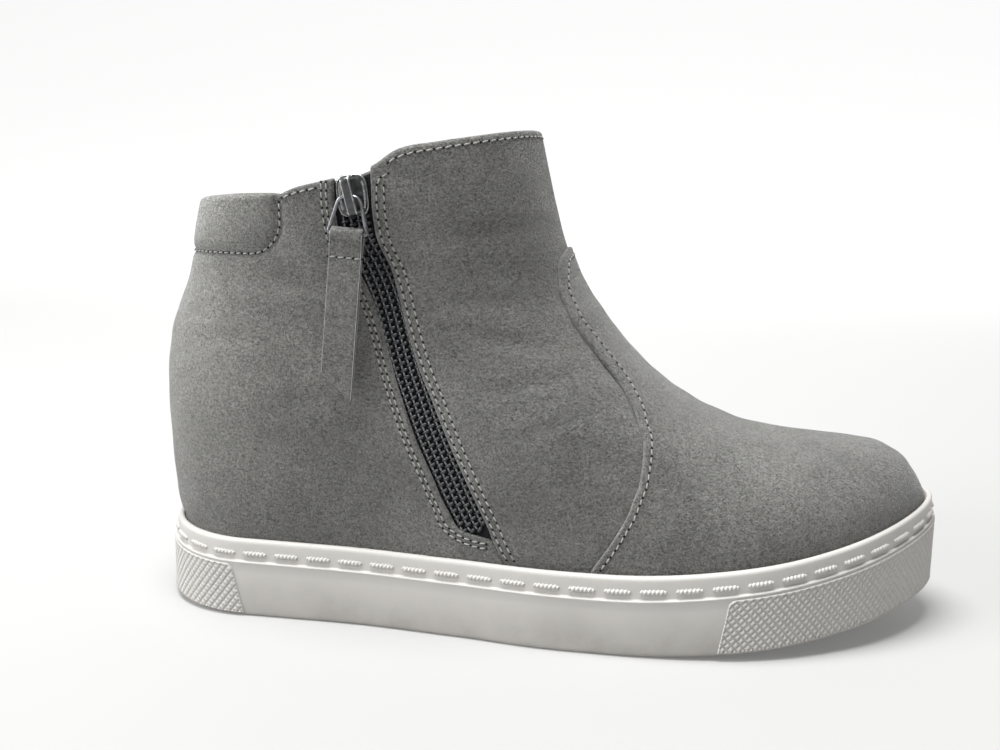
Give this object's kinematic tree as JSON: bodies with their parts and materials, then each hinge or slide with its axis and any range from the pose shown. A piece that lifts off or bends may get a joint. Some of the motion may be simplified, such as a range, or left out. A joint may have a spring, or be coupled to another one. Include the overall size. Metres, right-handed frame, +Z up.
{
  "type": "ankle boot",
  "caption": "Right ankle boot with a hidden wedge: hollow suede upper, vamp overlay, padded collar, side zip with a swinging pull, and a moulded rubber cup sole.",
  "frame": {"origin": "on the ground under the middle of the sole's length, on the centre line of the heel", "axes": "+X to the toe, +Y to the inner side of the foot, +Z up"},
  "size_m": [0.2674, 0.0986, 0.1615],
  "materials": {
    "suede": "grey imitation suede with a short nap",
    "sole_rubber": "off-white moulded rubber, satin",
    "lining": "dark grey brushed lining",
    "zip_tape": "black woven tape",
    "zip_coil": "black nylon coil with stitching",
    "dark_metal": "dark gunmetal plating, bright along the edges"
  },
  "bodies": {
    "boot": {"outsole": "sole_rubber", "upper": "suede", "vamp": "suede", "insole": "lining", "zip_tape": "zip_tape", "zip_chain": "zip_coil", "zip_slider": "dark_metal"},
    "zip_pull": {"pull_ring": "dark_metal", "pull_tab": "suede"}
  },
  "joints": [
    {"name": "pull_swing", "type": "hinge", "parent": "boot", "child": "zip_pull", "pos_m": [-0.06003, -0.03874, 0.1386], "axis": [-0.9969, 0, 0.0785], "range_deg": [0, 140]}
  ]
}
